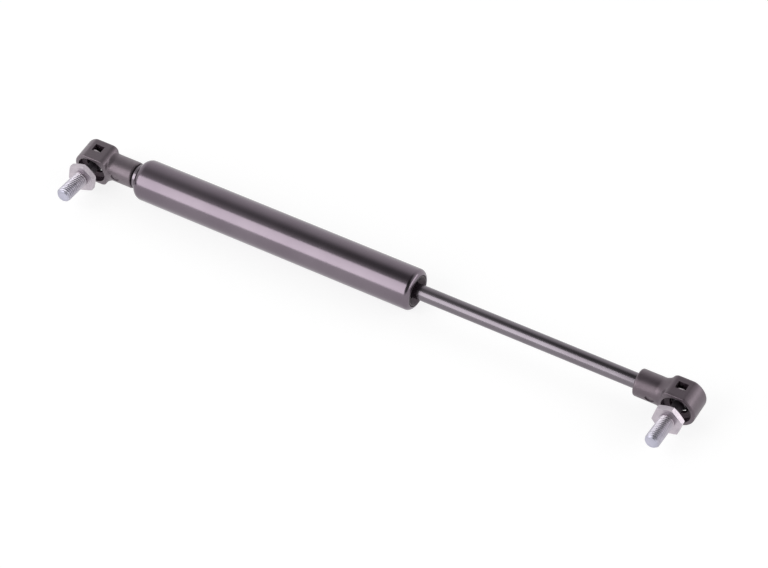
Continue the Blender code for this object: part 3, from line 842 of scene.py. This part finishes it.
def build_joint(side, place, lean, turn):
    """The socket leans about the strut's axis, so that the stud stands tilted in it."""
    socket = socket_mesh(side + "_socket", side + "_socket")
    leaning = place @ Matrix.Rotation(math.radians(lean), 4, "X")
    add_piece(side + "_socket", socket, leaning, side + "_socket", side + "_socket", "socket",
              side + "_ball_socket")
    clip_place = leaning @ ALONG_STUD @ Matrix.Translation((0, 0, CLIP_PLANE))
    add_piece(side + "_clip", clip_mesh(side + "_clip"), clip_place, side + "_socket", "clip",
              "steel", side + "_retaining_clip")
    add_piece(side + "_stud", stud_mesh(side + "_stud", turn), place @ ALONG_STUD, side + "_stud",
              "zinc", "zinc", side + "_ball_stud")


# ---------------------------------------------------------------- hidden pieces kept from the CAD

KEPT = {
    "end_plug_o_ring": "rubber", "guide_o_ring": "rubber", "rod_seal": "rubber",
    "guide_bush": "guide", "guide_liner": "liner", "seal_washer": "steel",
    "piston_front_washer": "steel", "piston_back_washer": "steel", "piston_body": "piston",
    "piston_ring": "ring",
}


def dress_kept_nodes():
    for node, material in KEPT.items():
        item = frame["nodes"][node]
        item.data.materials.clear()
        item.data.materials.append(MATERIALS[material])


# ---------------------------------------------------------------- studio

SKY_LEVEL = 1.05
SKY = ((0.0, 1.05), (0.30, 1.0), (0.58, 0.84), (0.75, 0.66), (0.87, 0.36), (0.92, 0.15),
       (1.0, 0.09))                 # height and brightness
DARK_SIDE = (0.376, -0.625, 0.684)
DARK_FADE = (0.74, 0.90)            # cosines of the angle to it
DARK_LEVEL = 0.15
FLOOR_SIZE = 14.0
FLOOR_BELOW = 0.3 * MM
FLOOR_TONE = 0.30
FLOOR_ROUGHNESS = 0.9
FLOOR_GLOW = 0.80
SOFTBOX_LEVEL = 1.9
SOFTBOX_X = -0.875
SOFTBOX_LENGTH = 1.55
SOFTBOX_DISTANCE = 1.25
SOFTBOX_ANGLES = (3, 56)            # above the floor, seen from the strut
RIM_LEVEL = 1.65
RIM_SIDE = (0.85, 0.25, 0.33)
RIM_DISTANCE = 1.2
RIM_SIZE = (1.5, 0.4)
CAMERA_LENS = 137.16                # in millimetres, as its sensor is
CAMERA_SENSOR = 36.0
CAMERA_DISTANCE = 1461.7 * MM
CAMERA_YAW = 31.03
CAMERA_PITCH = 43.19
AIM = Vector((4.6 * MM, 0, 0))      # on the strut's axis
AIM_RIGHT = -1.1 * MM
AIM_UP = -2.95 * MM


def build_world():
    """A pale studio that is dark overhead and round one direction in front."""
    world = bpy.data.worlds.new("studio")
    bpy.context.scene.world = world
    world.use_nodes = True
    nodes, links = world.node_tree.nodes, world.node_tree.links
    place = nodes.new("ShaderNodeTexCoord")
    split = nodes.new("ShaderNodeSeparateXYZ")
    links.new(place.outputs["Generated"], split.inputs["Vector"])
    sky = ramp(nodes, links, split.outputs["Z"],
               [(z, (level / SKY_LEVEL,) * 3) for z, level in SKY])
    towards = nodes.new("ShaderNodeVectorMath")
    towards.operation = "DOT_PRODUCT"
    towards.inputs[1].default_value = DARK_SIDE
    links.new(place.outputs["Generated"], towards.inputs[0])
    dim = nodes.new("ShaderNodeMapRange")
    dim.interpolation_type = "SMOOTHSTEP"
    dim.inputs["From Min"].default_value = DARK_FADE[0]
    dim.inputs["From Max"].default_value = DARK_FADE[1]
    dim.inputs["To Min"].default_value = 1.0
    dim.inputs["To Max"].default_value = DARK_LEVEL
    links.new(towards.outputs["Value"], dim.inputs["Value"])
    background = nodes["Background"]
    links.new(product(nodes, links, sky, dim.outputs["Result"]), background.inputs["Color"])
    background.inputs["Strength"].default_value = SKY_LEVEL


def build_floor():
    mesh = bpy.data.meshes.new("floor")
    half, z = FLOOR_SIZE / 2, -FLOOR_BELOW
    mesh.from_pydata([(-half, -half, z), (half, -half, z), (half, half, z), (-half, half, z)], [],
                     [(0, 1, 2, 3)])
    material, nodes, links, shader = new_material("floor_white")
    shader.inputs["Base Color"].default_value = (FLOOR_TONE, FLOOR_TONE, FLOOR_TONE, 1)
    shader.inputs["Roughness"].default_value = FLOOR_ROUGHNESS
    shader.inputs["Specular IOR Level"].default_value = 0.0
    shader.inputs["Emission Color"].default_value = (1, 1, 1, 1)
    shader.inputs["Emission Strength"].default_value = FLOOR_GLOW
    mesh.materials.append(material)
    floor = bpy.data.objects.new("floor", mesh)
    bpy.context.scene.collection.objects.link(floor)


def add_panel(name, middle, across, up, width, height, level):
    """A rectangular soft light of that radiance, facing away from across x up."""
    light = bpy.data.lights.new(name, "AREA")
    light.shape = "RECTANGLE"
    light.size = width
    light.size_y = height
    light.energy = level * math.pi * width * height
    item = bpy.data.objects.new(name, light)
    item.visible_camera = False
    bpy.context.scene.collection.objects.link(item)
    item.matrix_world = Matrix((across, up, across.cross(up))).transposed().to_4x4()
    item.matrix_world.translation = middle


def build_lights():
    """A long soft light parallel to the strut in front of it, and one beyond its rod end."""
    centre = Vector((SOFTBOX_X, TUBE_BALL.y, TUBE_BALL.z))
    bottom, top = [centre + SOFTBOX_DISTANCE * Vector((0, -math.cos(angle), math.sin(angle)))
                   for angle in map(math.radians, SOFTBOX_ANGLES)]
    add_panel("softbox", (top + bottom) / 2, Vector((1, 0, 0)), (top - bottom).normalized(),
              SOFTBOX_LENGTH, (top - bottom).length, SOFTBOX_LEVEL)
    away = Vector(RIM_SIDE).normalized()
    across = Vector((0, 0, 1)).cross(away).normalized()
    add_panel("side_light", away * RIM_DISTANCE, across, away.cross(across), *RIM_SIZE, RIM_LEVEL)


def build_camera():
    yaw, pitch = math.radians(CAMERA_YAW), math.radians(CAMERA_PITCH)
    back = Vector((math.sin(yaw) * math.cos(pitch), -math.cos(yaw) * math.cos(pitch),
                   math.sin(pitch)))
    right = Vector((math.cos(yaw), math.sin(yaw), 0))
    up = back.cross(right)
    aim = AIM + Vector((0, TUBE_BALL.y, TUBE_BALL.z)) + right * AIM_RIGHT + up * AIM_UP
    data = bpy.data.cameras.new("camera")
    data.lens = CAMERA_LENS
    data.sensor_width = CAMERA_SENSOR
    data.clip_start = 0.05
    data.clip_end = 50.0
    camera = bpy.data.objects.new("camera", data)
    bpy.context.scene.collection.objects.link(camera)
    camera.matrix_world = Matrix((right, up, back)).transposed().to_4x4()
    camera.matrix_world.translation = aim + back * CAMERA_DISTANCE
    bpy.context.scene.camera = camera


def main():
    build_barrel()
    build_rod()
    build_joint("tube", TUBE_FRAME, TUBE_LEAN, TUBE_HEX_TURN)
    build_joint("rod", ROD_FRAME, ROD_LEAN, ROD_HEX_TURN)
    dress_kept_nodes()
    build_world()
    build_floor()
    build_lights()
    build_camera()
    settings = bpy.context.scene.view_settings
    settings.view_transform = "Standard"
    settings.look = "None"
    settings.exposure = 0.0
    settings.gamma = 1.0


main()
